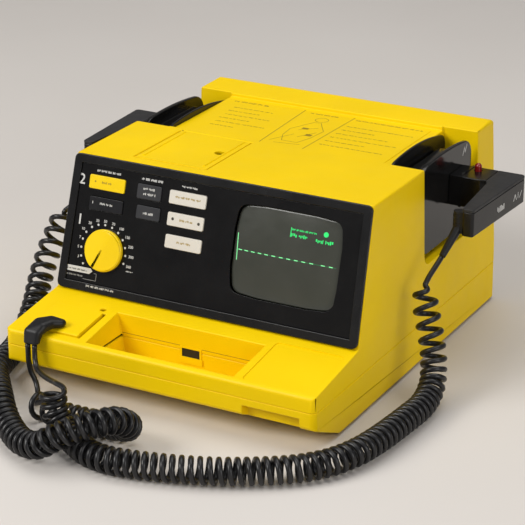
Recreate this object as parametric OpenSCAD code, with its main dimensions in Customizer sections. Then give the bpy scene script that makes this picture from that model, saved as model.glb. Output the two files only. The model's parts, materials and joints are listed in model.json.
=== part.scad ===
// Portable monitor and defibrillator: a yellow two-part case with a tilted front panel, a strip-chart
// recorder under a top door, two hand paddles in side pockets and their coiled cords.
// Origin: centre of the footprint, on the surface that the feet stand on. +X right, +Y back, +Z up.

/* [Case] */
// Width across the parting line
case_w = 290; // [288:1:294]
// Depth from the shelf front to the rear face
case_d = 366; // [365:0.5:367]
// Height of the flat top
case_h = 172.6; // [172:0.1:173.5]
// Height of the parting line between the two case halves
seam_z = 36.5; // [36:0.1:37]
// Loss of half-width for each millimetre of height
draft = 0.0334; // [0.03:0.0005:0.035]
// Case wall thickness
wall = 3; // [2.8:0.1:3.2]

/* [Front shelf and panel] */
// Height of the shelf at its front edge
shelf_z = 50.1; // [49.8:0.1:50.4]
// Distance of the panel foot behind the shelf front
panel_y = 78.6; // [78.4:0.1:78.8]
// Height of the panel foot
panel_z = 60.1; // [60:0.1:60.3]
// Length of the panel up its slope
panel_h = 117.2; // [117:0.1:117.4]
// Backward lean of the panel
lean = 16.3; // [16:0.1:16.5]
// How far the bezel stands out of the case
bezel_rise = 3.5; // [3:0.1:4]
// Radius of the energy knob
knob_r = 18.2; // [17:0.1:20]
// Key travel
key_travel = 1.2; // [0.8:0.1:1.4]

/* [Paddles] */
// Inner face of a paddle pocket, from the middle of the case
pocket_x = 107.3; // [107:0.1:107.6]
// Front edge of the pockets
pocket_y0 = 208.5; // [208:0.1:209]
// Rear edge of the pockets
pocket_y1 = 323.4; // [323:0.1:323.6]
// Outer face of the paddle's finger guard, from the middle of the case
guard_x = 137.6; // [137:0.1:138]
// Underside of the grip
grip_z0 = 125.3; // [125:0.1:126]
// Top of the grip
grip_z1 = 149.6; // [149:0.1:150]

/* [Cords] */
// Diameter of the cord
cord_d = 4.6; // [4.4:0.1:4.8]
// Outer diameter of the curly part
curl_d = 23; // [22:0.5:23.5]

/* [Hidden] */
$fn = 48;

yellow = [0.94, 0.78, 0.03];
black = [0.06, 0.06, 0.06];
soft_black = [0.10, 0.10, 0.10];
steel = [0.75, 0.75, 0.76];
eps = 0.02;

foot_h = 2.5;              // rubber feet under the case
lip_z = 22.2;              // lower front edge of the case
slope_y = 42.8;            // where the sloping underside meets the flat bottom
slit_z = 86;               // lowest point of the pockets
label_z = 169;             // floor of the label recess
ridge_y = 321.3;           // front face of the rear ridge
ridge_rise = 1.8;          // how far the ridge climbs towards the back
back_lean = 6.7;           // how far the rear face leans forward at the top
shelf_tilt = atan((panel_z - shelf_z) / panel_y);
knob_at = [-100.5, 38.2];   // across and up the panel
pointer = -25;             // where the pointer stands, from straight down
door_x0 = -92.5;
door_x1 = -20.5;
door_y0 = 123.5;
door_y1 = 203.5;
door_axis = [-90.3, 171.2];
finger_hole = [-32, 166];
screw_xy = [[-128, 68], [128, 68], [-128, 196], [128, 196], [-128, 340], [128, 340]];
foot_xy = [[-112, 64], [112, 64], [-112, 340], [112, 340]];
arch_top = 173;            // top of the guard's arch
holder_top = 174.1;        // top of the holder's arch
arm_z0 = 122.2;            // underside of the arm between guard and grip
cap_x = 171.5;             // inner edge of the grip cap
button_at = [155.5, 290];  // discharge button, across and back

function half_w(z) = case_w / 2 - draft * (z - seam_z);
function unit(v) = v / norm(v);

// Everything below measures Y from the shelf front; this brings it to the middle of the footprint
module seat() {
    translate([0, -case_d / 2, 0]) children();
}

// Across (X), up (Y) and outward (Z) on the tilted front panel
module on_panel() {
    translate([0, panel_y, panel_z]) rotate([90 - lean, 0, 0]) children();
}

// A flat outline in Y and Z, carried along X from x0 to x1
module along_x(x0, x1) {
    translate([x0, 0, 0]) rotate([90, 0, 90]) linear_extrude(x1 - x0) children();
}

// A flat outline in X and Z, carried along Y from y0 to y1
module along_y(y0, y1) {
    translate([0, y1, 0]) rotate([90, 0, 0]) linear_extrude(y1 - y0) children();
}

module block(low, high) {
    translate(low) cube(high - low);
}

module round_corners(r) {
    offset(r = r, $fn = 24) offset(delta = -r) children();
}

module round_block(low, high, r) {
    translate([0, 0, low[2]]) linear_extrude(high[2] - low[2]) round_corners(r)
        translate([low[0], low[1]]) square([high[0] - low[0], high[1] - low[1]]);
}

module rod_x(x0, x1, r) {
    translate([x0, 0, 0]) rotate([0, 90, 0]) cylinder(r = r, h = x1 - x0);
}

module rod_y(y0, y1, r) {
    translate([0, y1, 0]) rotate([90, 0, 0]) cylinder(r = r, h = y1 - y0);
}

// ---- case ----
module side_outline(inset) {
    offset(delta = -inset) union() {
        round_corners(4) polygon([[0, lip_z], [0, shelf_z], [panel_y, panel_z],
            [panel_y + panel_h * sin(lean), case_h], [ridge_y, case_h],
            [case_d - back_lean, case_h + ridge_rise], [case_d, foot_h], [slope_y, foot_h]]);
        polygon([[panel_y, panel_z], [panel_y + panel_h * sin(lean), case_h], [130, case_h], [100, panel_z]]);
    }
}

module front_outline(inset) {
    offset(delta = -inset) round_corners(4) polygon([[-half_w(0), 0], [half_w(0), 0],
        [half_w(case_h + ridge_rise), case_h + ridge_rise], [-half_w(case_h + ridge_rise), case_h + ridge_rise]]);
}

module plan_outline(inset) {
    offset(delta = -inset) round_corners(7) translate([-half_w(0), 0]) square([2 * half_w(0), case_d]);
}

module case_solid(inset) {
    intersection() {
        along_x(-160, 160) side_outline(inset);
        along_y(-5, case_d + 5) front_outline(inset);
        linear_extrude(200) plan_outline(inset);
    }
}

// The open tray in the middle of the shelf, wider at its rim
module tray_space(grow, z0) {
    along_y(6 - grow, 58 + grow) polygon([[-72 - grow, 66], [72 + grow, 66], [64 + grow, z0], [-64 - grow, z0]]);
}

module tray_walls(z0, z1) {
    intersection() {
        difference() {
            tray_space(2.5, z0);
            tray_space(0, z0 - 1);
        }
        block([-90, 0, z0], [90, 90, z1]);
        along_x(-100, 100) side_outline(0.5);
    }
}

module pocket_outline(inset) {
    offset(delta = -inset) round_corners(9) translate([pocket_y0, slit_z])
        square([pocket_y1 - pocket_y0, 130]);
}

module battery_opening(clear) {
    block([14 - clear, 300, 10 - clear], [106 + clear, 380, 78 + clear]);
}

// Screw columns, each tied to the side wall by a rib
module screw_bosses(z0, z1, bore) {
    for (p = screw_xy) difference() {
        union() {
            translate([p[0], p[1], z0]) cylinder(r = 4.5, h = z1 - z0);
            scale([sign(p[0]), 1, 1]) block([abs(p[0]), p[1] - 1.2, z0], [half_w(z1) - wall + 0.5, p[1] + 1.2, z1]);
        }
        translate([p[0], p[1], z0 - 1]) cylinder(r = bore, h = z1 - z0 + 2);
    }
}

module lower_case() color(yellow) seat() {
    difference() {
        intersection() {
            case_solid(0);
            block([-160, -5, 0], [160, case_d + 5, seam_z]);
        }
        case_solid(wall);
        tray_space(0, 22);
        // finger notch in the lower front edge
        block([80, -5, 0], [131, 10, 30]);
        battery_opening(0.5);
        for (p = screw_xy) translate([p[0], p[1], 0]) cylinder(r = 3.4, h = 20);
        for (p = foot_xy) translate([p[0], p[1], 0]) cylinder(r = 3, h = 20);
        for (i = [-3 : 3]) block([84 + i * 6, 112, 0], [86.4 + i * 6, 148, 20]);
    }
    tray_walls(19.5, seam_z);
    intersection() {
        block([-66.4, 3.5, 19.5], [66.4, 60.5, 22]);
        along_x(-100, 100) side_outline(0.5);
    }
    // roof, back and sides of the finger notch
    intersection() {
        difference() {
            block([78, 2.5, 5], [133, 12.5, 32]);
            block([80, -5, 0], [131, 10, 30]);
        }
        case_solid(0.5);
    }
    screw_bosses(foot_h + wall + 1.5, seam_z, 1.7);
    for (p = screw_xy) translate([p[0], p[1], foot_h + 1]) difference() {
        cylinder(r = 4.5, h = wall + 0.5);
        translate([0, 0, -2]) cylinder(r = 3.4, h = 3.5);
        translate([0, 0, -2]) cylinder(r = 1.7, h = 10);
    }
}

module upper_case() color(yellow) seat() {
    difference() {
        union() {
            difference() {
                intersection() {
                    case_solid(0);
                    block([-160, -5, seam_z], [160, case_d + 5, 200]);
                }
                case_solid(wall);
            }
            // floor of the label recess
            block([-107, 204, label_z - 3], [107, 326, label_z]);
            for (y = [204, ridge_y]) block([-107, y, label_z - 3], [107, y + 4, case_h - 1]);
            // floor and walls under the plug bay
            block([-131, 6, 38.5], [-73, 59, 41]);
            intersection() {
                difference() {
                    block([-131, 6, 38.5], [-73, 59, 70]);
                    block([-128.5, 8.5, 38], [-75.5, 56.5, 71]);
                }
                along_x(-200, 0) side_outline(1);
            }
            tray_walls(seam_z, 66);
            // back and side walls of the paddle pockets
            intersection() {
                for (s = [-1, 1]) scale([s, 1, 1]) along_x(pocket_x - 3, 150) pocket_outline(-2.5);
                case_solid(0);
            }
        }
        tray_space(0, 22);
        battery_opening(0.5);
        // opening behind the front panel
        on_panel() translate([0, 0, -30]) linear_extrude(40) panel_outline(6);
        // plug bay and the guide hole behind it
        block([-127, 9.5, 41], [-78, 51.5, 70]);
        translate([-84.4, 57.5, 52]) cylinder(r = 2.6, h = 20);
        // shallow flat on the right of the shelf
        translate([0, 0, shelf_z]) rotate([shelf_tilt, 0, 0])
            round_block([77, 5, -0.8], [139, 66, 10], 4);
        // mouth of the recorder bay
        block([door_x0, door_y0, 150], [door_x1, door_y1, 180]);
        translate([door_axis[0], 0, door_axis[1]]) rod_y(120.5, 206.5, 0.7);
        // label recess and paddle pockets
        block([-pocket_x, 209.5, label_z], [pocket_x, ridge_y, 180]);
        for (s = [-1, 1]) scale([s, 1, 1]) along_x(pocket_x - eps, 160) pocket_outline(0);
        // power inlet
        block([-98.5, 340, 87.5], [-67.5, 380, 112.5]);
    }
    screw_bosses(seam_z, 50, 1.5);
}

module rubber_feet() color(soft_black) seat() {
    for (p = foot_xy) translate([p[0], p[1], 0]) {
        cylinder(r = 9, h = foot_h);
        cylinder(r = 3, h = foot_h + 5);
    }
}

module case_screws() color(steel) seat() {
    for (p = screw_xy) translate([p[0], p[1], foot_h]) {
        difference() {
            cylinder(r = 3, h = 2.5 - eps);
            translate([0, 0, -1]) cylinder(r = 1.4, h = 2.2, $fn = 6);
        }
        cylinder(r = 1.5, h = 40);
    }
}

module chassis() color(steel) seat() {
    difference() {
        block([-104, 252, 79.5], [104, 352, 81]);
        for (x = [-96, 96], y = [258, 346]) translate([x, y, 70]) cylinder(r = 2, h = 20);
        translate([60, 300, 70]) cylinder(r = 12, h = 20);
    }
    for (x = [-104, 102.5]) block([x, 252, 81], [x + 1.5, 352, 92]);
}

// ---- front panel ----
module panel_outline(inset) {
    offset(delta = -inset) round_corners(5) polygon([[-143.4, 0.3], [143.4, 0.3], [140.2, 117], [-140.2, 117]]);
}

module screen_outline(grow) {
    offset(delta = grow) round_corners(9) polygon([[22.5, 26], [46, 24.2], [92, 24.2], [116.5, 26],
        [118, 45], [118, 79], [115.5, 99], [92, 100.8], [46, 100.8], [22, 99], [20, 79], [20, 45]]);
}

// Middle, width and height of each key on the panel, from the left column down to the right one
charge_at = [-105.9, 94.9, 35, 11.8];
disarm_at = [-104.6, 76.8, 33, 11.4];
sync_at = [-64.2, 94.3, 23.4, 12.6];
alarm_at = [-62.9, 76.8, 23, 11.4];
lead_at = [-26.9, 94.5, 35.2, 11.4];
size_at = [-26.5, 76, 34.6, 11.4];
record_at = [-26, 57.2, 34.6, 11.4];
KEYS = [charge_at, disarm_at, sync_at, alarm_at, lead_at, size_at, record_at];

module key_outline(k, grow) {
    translate([k[0], k[1]]) offset(delta = grow) round_corners(1.4) square([k[2], k[3]], center = true);
}

module front_bezel() color(black) seat() on_panel() {
    difference() {
        linear_extrude(bezel_rise) panel_outline(0);
        translate([0, 0, -1]) linear_extrude(10) panel_outline(7.5);
    }
    // locating flange behind the face, which also backs the panel's edge
    difference() {
        translate([0, 0, -4]) linear_extrude(4 + eps) panel_outline(6.4);
        translate([0, 0, -5]) linear_extrude(10) panel_outline(9);
    }
}

module control_panel() color(black) seat() on_panel() {
    difference() {
        translate([0, 0, eps]) linear_extrude(2) panel_outline(7.8);
        translate([0, 0, -1]) {
            for (k = KEYS) linear_extrude(4) key_outline(k, 0.35);
            linear_extrude(4) screen_outline(0.3);
            translate([knob_at[0], knob_at[1]]) cylinder(r = 5.5, h = 4);
        }
    }
}

module key(k, c) color(c) seat() on_panel() {
    translate([0, 0, -1]) linear_extrude(4.1) key_outline(k, 0);
    translate([0, 0, -3]) linear_extrude(2) key_outline(k, 1.2);
}

module charge_key() key(charge_at, yellow);
module disarm_key() key(disarm_at, soft_black);
module sync_key() key(sync_at, [0.2, 0.2, 0.21]);
module alarm_key() key(alarm_at, [0.2, 0.2, 0.21]);
module lead_key() key(lead_at, [0.86, 0.85, 0.8]);
module size_key() key(size_at, [0.86, 0.85, 0.8]);
module record_key() key(record_at, [0.86, 0.85, 0.8]);

module key_board() color([0.1, 0.35, 0.2]) seat() on_panel() {
    difference() {
        translate([0, 0, -7]) linear_extrude(1.6) union() {
            translate([-126, 66]) square([76.5, 39]);
            translate([-50, 47]) square([46, 58]);
        }
        for (p = [[-122, 101], [-122, 70], [-8, 101], [-8, 51]]) translate([p[0], p[1], -10]) cylinder(r = 1.6, h = 10);
    }
    for (k = KEYS) translate([k[0], k[1], -5.4]) cylinder(r = 3, h = 0.8);
}

module rotary_switch() color(steel) seat() on_panel() translate([knob_at[0], knob_at[1], 0]) {
    difference() {
        union() {
            translate([0, 0, -24]) cylinder(r = 13, h = 18);
            translate([0, 0, -6]) cylinder(r = 5, h = 8.2);
            for (a = [0 : 40 : 320]) rotate([0, 0, a]) translate([10, -0.6, -29]) cube([1, 1.2, 5.5]);
        }
        translate([0, 0, -16]) cylinder(r = 3.05, h = 30);
    }
}

module switch_shaft() color(steel) seat() on_panel() translate([knob_at[0], knob_at[1], 0]) {
    translate([0, 0, -15]) cylinder(r = 3, h = 22.4);
}

// A disc whose face slopes away from a ridge along the pointer
module energy_knob() color(yellow) seat() on_panel() translate([knob_at[0], knob_at[1], 2.4]) {
    difference() {
        union() {
            cylinder(r = knob_r, h = 3.6);
            intersection() {
                translate([0, 0, 3.6]) cylinder(r = knob_r - 1, h = 3.4);
                rotate([0, 0, pointer]) along_y(-30, 30)
                    polygon([[-knob_r, 3.6], [-knob_r, 4], [-2, 6.4], [2, 6.4], [knob_r, 4], [knob_r, 3.6]]);
            }
        }
        translate([0, 0, -1]) cylinder(r = 3, h = 6);
        // pointer groove
        rotate([0, 0, pointer]) block([-0.9, -30, 5.4], [0.9, 1, 20]);
        translate([0, 0, -1]) difference() {
            cylinder(r = knob_r - 2, h = 3.2);
            cylinder(r = 7, h = 3.2);
        }
    }
}

module crt_window() color([0.3, 0.34, 0.3]) seat() on_panel() {
    intersection() {
        translate([0, 0, -5]) linear_extrude(8) screen_outline(0);
        translate([69, 62.5, -598.6]) sphere(r = 600, $fn = 256);
    }
}

module crt_tube() color([0.25, 0.27, 0.27]) seat() on_panel() translate([69, 62.5, 0]) {
    translate([0, 0, -20]) linear_extrude(15) round_corners(9) square([98, 76], center = true);
    translate([0, 0, -78]) cylinder(r1 = 15, r2 = 37, h = 58);
    translate([0, 0, -140]) cylinder(r = 14, h = 62);
    translate([0, 0, -146]) cylinder(r = 11, h = 6);
}

module crt_yoke() color([0.55, 0.28, 0.12]) seat() on_panel() translate([69, 62.5, 0]) {
    rotate_extrude() polygon([[14.2, -112], [24, -112], [24, -106], [21, -104], [21, -92], [27, -88],
        [27, -80], [15.2, -80], [14.2, -84]]);
}

// ---- recorder ----
module recorder_door() color(yellow) seat() {
    difference() {
        union() {
            block([door_axis[0], door_y0 + 0.6, 170], [door_x1 - 0.6, door_y1 - 0.6, case_h]);
            translate([door_axis[0], 0, door_axis[1]]) rod_y(door_y0 + 0.6, door_y1 - 0.6, 1.35);
            for (x = [-86, -27]) block([x - 0.9, 130, case_h - eps], [x + 0.9, 200, case_h + 0.7]);
        }
        translate([door_axis[0], 0, door_axis[1]]) rod_y(door_y0, door_y1, 0.75);
        translate([finger_hole[0], finger_hole[1], 160]) cylinder(r = 4.5, h = 20);
    }
}

module door_hinge_pin() color(steel) seat() {
    translate([door_axis[0], 0, door_axis[1]]) rod_y(120.5, 206.5, 0.7);
}

roll_at = [178, 146];
roller_at = [139, 158];

module recorder_frame() color(soft_black) seat() {
    difference() {
        block([-88, 125, 122], [-24, 202, 168]);
        block([-85.5, 127.5, 124.5], [-26.5, 199.5, 180]);
        translate([0, roller_at[0], roller_at[1]]) rod_x(-100, -10, 2.05);
    }
    // cheeks that carry the paper
    for (x = [-85.5, -29.5]) block([x, 150, 124.5], [x + 3, 199.5, 130]);
}

module paper_roll() color([0.95, 0.93, 0.9]) seat() translate([0, roll_at[0], roll_at[1]]) {
    difference() {
        rod_x(-81.5, -30.5, 15.2);
        rod_x(-90, -20, 6);
    }
}

module drive_roller() color(soft_black) seat() translate([0, roller_at[0], roller_at[1]]) {
    rod_x(-84.5, -27.5, 5);
    rod_x(-96, -24.5, 2);
}

module recorder_motor() color(steel) seat() translate([0, roller_at[0], roller_at[1]]) {
    difference() {
        rod_x(-104, -88.2, 9.5);
        rod_x(-98, -80, 2.05);
    }
}

module print_head() color([0.5, 0.5, 0.52]) seat() {
    block([-84, 127.7, 150], [-28, 130, 166]);
    block([-82, 130, 154], [-30, 133.6, 161]);
}

module instruction_label() color([0.92, 0.77, 0.1]) seat() {
    round_block([-99, 213, label_z], [99, 317, label_z + 0.4], 3);
}

// ---- paddle pockets ----
// An upright plate in Y and Z whose top edge is an arch of radius curve, highest at y = crown
module arch_outline(top, crown, curve, y0, y1, z0, r) {
    round_corners(r) intersection() {
        translate([y0, z0]) square([y1 - y0, 120]);
        translate([crown, top - curve]) circle(r = curve, $fn = 240);
    }
}

module holder(s) color(black) seat() scale([s, 1, 1]) {
    along_x(pocket_x, pocket_x + 2.4)
        arch_outline(holder_top, 252, 290, pocket_y0 + 0.4, pocket_y1 - 0.4, slit_z + 0.4, 10);
    // rails that guide the paddle's base
    for (y = [pocket_y0 + 0.4, pocket_y1 - 2.4])
        block([pocket_x + 2.4 - eps, y, 96], [pocket_x + 10, y + 2, 150]);
}

module apex_holder() holder(1);
module sternum_holder() holder(-1);

module test_contacts() color(steel) seat() for (s = [-1, 1]) scale([s, 1, 1]) {
    along_x(pocket_x + 2.4, pocket_x + 3.4) round_corners(6) translate([228, 100]) square([74, 52]);
}

// ---- paddles ----
module base_at(s) color(black) seat() scale([s, 1, 1]) {
    along_x(114.5, guard_x - 4) round_corners(14) translate([220, 93.5]) square([90, 68]);
    along_x(guard_x - 4, guard_x) arch_outline(arch_top, 252, 400, 210.6, 317, 90.5, 16);
}

module electrode_at(s) color(steel) seat() scale([s, 1, 1]) {
    along_x(112, 114.5) round_corners(12) translate([223, 96.5]) square([84, 62]);
}

// Plan view of the grip and the arm that joins it to the guard
module handle_plan() {
    round_corners(2.5) polygon([[guard_x - 3, 268], [166, 268], [171, 269.5], [174.2, 264], [180.5, 196],
        [190.6, 196], [196.2, 296.5], [194, 298.5], [guard_x - 3, 298.5]]);
}

module handle_at(s) color(black) seat() scale([s, 1, 1]) {
    difference() {
        union() {
            intersection() {
                translate([0, 0, grip_z0]) linear_extrude(grip_z1 - 3 - grip_z0) handle_plan();
                block([guard_x, 190, 100], [200, 320, 160]);
            }
            intersection() {
                translate([0, 0, arm_z0]) linear_extrude(grip_z1 - arm_z0) handle_plan();
                block([guard_x, 190, 100], [cap_x - eps, 320, 160]);
            }
            // collar where the arm meets the guard's boss
            block([147, 267.2, arm_z0 - 0.6], [149, 299.3, grip_z1 + 0.6]);
        }
        // seat of the discharge button
        translate([button_at[0], button_at[1], grip_z0 + 8]) cylinder(r = 3.4, h = 40);
    }
}

module handle_cap_at(s) color(soft_black) seat() scale([s, 1, 1]) {
    intersection() {
        translate([0, 0, grip_z1 - 3]) linear_extrude(3) handle_plan();
        block([cap_x, 190, 100], [200, 320, 160]);
    }
}

module shock_button_at(s) color([0.75, 0.05, 0.04]) seat() scale([s, 1, 1])
        translate([button_at[0], button_at[1], 0]) {
    translate([0, 0, grip_z0 + 12]) cylinder(r = 3.1, h = grip_z1 + 4 - grip_z0 - 12);
    intersection() {
        translate([0, 0, grip_z1 + 3.6]) sphere(r = 3.1);
        translate([0, 0, grip_z1 + 4]) cylinder(r = 4, h = 5);
    }
}

// A round bar that tapers from point a to point b
module taper(a, b, r_a, r_b) {
    v = b - a;
    translate(a) rotate([0, acos(v[2] / norm(v)), atan2(v[1], v[0])]) cylinder(r1 = r_a, r2 = r_b, h = norm(v));
}

// Ribbed boot on the inner side of the grip's front end, and the sleeve that leaves it
relief_foot = [170.6, 180.5, 110.7];

module strain_relief_at(s) color(black) seat() scale([s, 1, 1]) {
    difference() {
        union() {
            translate([175.2, 202.5, 0]) {
                translate([0, 0, 126]) cylinder(r = 4.4, h = 19);
                for (i = [0 : 3]) translate([0, 0, 128 + i * 4]) cylinder(r = 4.9, h = 2);
                // tongue against the slanting inner face of the grip
                block([0, -4, 126], [6, 4, 145]);
            }
            taper([175, 202, 130], relief_foot, 4.2, 2.8);
        }
        translate([0, 0, 100]) linear_extrude(60) handle_plan();
    }
}

module apex_base() base_at(1);
module apex_electrode() electrode_at(1);
module apex_handle() handle_at(1);
module apex_handle_cap() handle_cap_at(1);
module apex_shock_button() shock_button_at(1);
module apex_strain_relief() strain_relief_at(1);
module sternum_base() base_at(-1);
module sternum_electrode() electrode_at(-1);
module sternum_handle() handle_at(-1);
module sternum_handle_cap() handle_cap_at(-1);
module sternum_shock_button() shock_button_at(-1);
module sternum_strain_relief() strain_relief_at(-1);

// ---- inside ----
module main_board() color([0.1, 0.35, 0.2]) seat() {
    difference() {
        block([-98, 74, 12], [62, 245, 13.6]);
        for (x = [-92, 56], y = [80, 239]) translate([x, y, 10]) cylinder(r = 1.8, h = 6);
    }
    for (x = [-92, 56], y = [80, 239]) translate([x, y, foot_h + wall]) cylinder(r = 3, h = 12 - foot_h - wall);
    for (x = [-70, -30, 10]) block([x, 110, 13.6], [x + 24, 134, 16]);
    for (x = [-80 : 20 : 40]) translate([x, 200, 13.6]) cylinder(r = 5, h = 14);
}

module hv_capacitor() color([0.16, 0.24, 0.42]) seat() translate([-62, 0, 47]) {
    rod_y(252, 352, 24);
    for (x = [-9, 9]) translate([x, 0, 0]) rod_y(245, 252, 3);
}

module power_supply() color(steel) seat() {
    block([-98, 262, 81], [-20, 337, 118]);
    for (i = [0 : 6]) block([-16, 266 + i * 10, 81], [14, 269 + i * 10, 104]);
    block([-20.5, 262, 81], [14, 336, 84]);
}

module battery_bay() color(soft_black) seat() {
    difference() {
        block([16.5, 258, 11.5], [103.5, 358.2, 76.5]);
        block([19, 260.5, 14], [101, 370, 74]);
    }
}

module battery_pack() color([0.2, 0.2, 0.2]) seat() {
    block([19.4, 262, 14.4], [100.6, 358.5, 73.6]);
    difference() {
        block([14, 358.5, 10], [106, 363, 78]);
        block([40, 360.5, 30], [80, 380, 46]);
    }
}

module power_inlet() color(soft_black) seat() {
    difference() {
        block([-98, 338, 88], [-68, 363.4, 112]);
        block([-94.5, 344, 91.5], [-71.5, 380, 108.5]);
    }
    for (p = [[-90, 98], [-83, 103], [-76, 98]]) block([p[0] - 0.6, 344, p[1] - 2], [p[0] + 0.6, 355, p[1] + 2]);
}

module speaker() color([0.15, 0.15, 0.15]) seat() translate([85, 130, foot_h + wall]) {
    difference() {
        cylinder(r = 27, h = 3);
        translate([0, 0, -1]) cylinder(r = 22, h = 3);
    }
    translate([0, 0, 3]) cylinder(r1 = 24, r2 = 13, h = 7);
    translate([0, 0, 10]) cylinder(r = 14, h = 6);
}

// ---- paddle connector ----
module paddle_socket() color(soft_black) seat() {
    difference() {
        block([-118, 18, 41], [-92, 42, 45]);
        for (i = [0 : 2], j = [0 : 1]) translate([-112 + i * 7, 25 + j * 10, 40]) cylinder(r = 1.6, h = 8);
    }
}

module paddle_plug() color(yellow) seat() {
    difference() {
        intersection() {
            round_block([-126, 10.5, 41.4], [-79.6, 50, 80], 2);
            along_x(-140, -70) polygon([[0, 30], [0, shelf_z + 1.2], [8.5, shelf_z + 1.2],
                [13, shelf_z + 3.6], [70, shelf_z + 3.6 + 57 * tan(shelf_tilt)], [70, 30]]);
        }
        block([-118.5, 17.5, 41], [-91.5, 42.5, 46]);
    }
}

// Moulded boot that carries the pair of cords over the shelf edge: middle, half spread and radius
boot_route = [[-99, 16, 57.6], [-106.5, 12, 58.6], [-111.8, 4, 57.8], [-114, -4, 54], [-113.5, -8.5, 44]];
boot_spread = [[0, 1, 0], [1.5, -2.5, 0], [3.8, -3, 0], [4, 0, 0], [3.5, 0, 0]];
boot_radius = [3.4, 4.4, 4.8, 4.4, 3.3];

module plug_boot() color(black) seat() {
    difference() {
        for (i = [0 : 3]) hull() {
            for (k = [i, i + 1], side = [-1, 1])
                translate(boot_route[k] + side * boot_spread[k]) sphere(r = boot_radius[k], $fn = 20);
        }
        block([-130, -20, 30], [-90, 10, 46]);
    }
}

// ---- cords: the middle of each stretch, chosen by hand, measured from the shelf front ----
apex_lead_route = [[170.45, 179.9, 110.2], [169.3, 174.5, 106.2], [168, 169, 102], [166.8, 163.5, 97.8],
    [166, 158, 93]];
apex_coil_route = [[166, 158, 93], [168, 154, 80], [173, 150, 66], [178, 146, 53], [182, 142, 42], [185, 137, 31],
    [188, 129, 21], [190, 115, 14], [191, 98, 12], [190, 80, 12], [188, 55, 12], [185, 28, 12], [179, 0, 12],
    [168, -24, 12], [151, -44, 12], [124, -63, 12], [98, -77, 12], [72, -87, 12], [52, -93, 12], [33, -97.5, 12],
    [15, -99.5, 12], [-2, -96.5, 12], [-14, -90.5, 12], [-24, -84.5, 12.4], [-33, -79.5, 14], [-40.6, -75.8, 18],
    [-45.8, -73.6, 24], [-48.4, -72.8, 31], [-49.4, -72.6, 37.5], [-49.6, -72.5, 43.5]];
apex_tail_route = [[-110.1, -8.5, 45.2], [-109.7, -9.3, 38], [-108, -11.5, 32], [-103.5, -15.5, 28.2],
    [-95, -22.5, 28.4], [-86, -30, 30.5], [-74, -39.4, 34], [-64, -48, 38], [-57, -56, 42], [-52, -64.5, 44.6],
    [-49.6, -72.5, 43.5]];
sternum_lead_route = [[-170.35, 179.3, 109.8], [-170.9, 175, 107], [-173.2, 168, 104.5], [-177, 158, 103.5],
    [-180, 148, 100]];
sternum_coil_route = [[-180, 148, 100], [-180, 137, 88], [-181, 125, 75], [-180, 112, 61], [-177, 98, 48],
    [-172, 82, 34], [-168, 62, 20], [-164, 41, 13], [-159, 18, 12], [-151.5, -7, 12], [-137, -26, 12],
    [-121, -45, 12], [-102.5, -67, 12], [-79, -90, 12], [-57, -105.5, 12.4], [-38, -112, 17], [-24, -111, 26],
    [-10, -104, 33.5], [3.5, -93, 37], [12, -78, 35], [13, -63, 25], [5, -52.5, 16], [-8, -49, 12.4],
    [-22, -50, 12], [-36, -51, 12], [-50, -51, 12], [-63, -50, 12], [-75, -47.5, 12], [-86.5, -44.5, 12]];
sternum_tail_route = [[-116.8, -8.5, 45.2], [-116.7, -8.6, 38], [-116.3, -8.8, 29], [-114.6, -8.8, 20.5],
    [-110.3, -9, 12.5], [-105.8, -13, 7], [-102, -19.5, 4], [-99, -27.5, 3.2], [-95.5, -35.5, 4.2],
    [-91.5, -41.5, 7.6], [-86.5, -44.5, 12]];

function tangents(p) = [for (i = [0 : len(p) - 1])
    unit(p[min(i + 1, len(p) - 1)] - p[max(i - 1, 0)])];
function sides(t, u, i = 0) = i >= len(t) ? [] :
    let (v = unit(u - (u * t[i]) * t[i])) concat([v], sides(t, v, i + 1));

// A tube of radius r along a route, with n sides
module tube(route, r, n) {
    t = tangents(route);
    s = sides(t, [1, 0.2, 0.1]);
    last = len(route) - 1;
    polyhedron(
        points = [for (i = [0 : last], k = [0 : n - 1])
            route[i] + r * (cos(360 * k / n) * s[i] + sin(360 * k / n) * cross(t[i], s[i]))],
        faces = concat(
            [[for (k = [0 : n - 1]) k]],
            [[for (k = [n - 1 : -1 : 0]) last * n + k]],
            [for (i = [0 : last - 1], k = [0 : n - 1])
                [i * n + k, (i + 1) * n + k, (i + 1) * n + (k + 1) % n]],
            [for (i = [0 : last - 1], k = [0 : n - 1])
                [i * n + k, (i + 1) * n + (k + 1) % n, i * n + (k + 1) % n]]));
}

module apex_lead() color(black) seat() tube(apex_lead_route, cord_d / 2, 8);
module apex_coil() color(black) seat() tube(apex_coil_route, curl_d / 2, 12);
module apex_tail() color(black) seat() tube(apex_tail_route, cord_d / 2, 8);
module sternum_lead() color(black) seat() tube(sternum_lead_route, cord_d / 2, 8);
module sternum_coil() color(black) seat() tube(sternum_coil_route, curl_d / 2, 12);
module sternum_tail() color(black) seat() tube(sternum_tail_route, cord_d / 2, 8);

lower_case();
upper_case();
front_bezel();
control_panel();
crt_window();
crt_tube();
crt_yoke();
key_board();
rotary_switch();
energy_knob();
switch_shaft();
charge_key();
disarm_key();
sync_key();
alarm_key();
lead_key();
size_key();
record_key();
recorder_door();
door_hinge_pin();
recorder_frame();
paper_roll();
drive_roller();
recorder_motor();
print_head();
instruction_label();
apex_holder();
sternum_holder();
test_contacts();
main_board();
hv_capacitor();
power_supply();
chassis();
battery_bay();
battery_pack();
power_inlet();
speaker();
rubber_feet();
case_screws();
paddle_socket();
paddle_plug();
plug_boot();
apex_tail();
sternum_tail();
apex_coil();
sternum_coil();
apex_lead();
sternum_lead();
apex_base();
apex_electrode();
apex_handle();
apex_handle_cap();
apex_shock_button();
apex_strain_relief();
sternum_base();
sternum_electrode();
sternum_handle();
sternum_handle_cap();
sternum_shock_button();
sternum_strain_relief();
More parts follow.
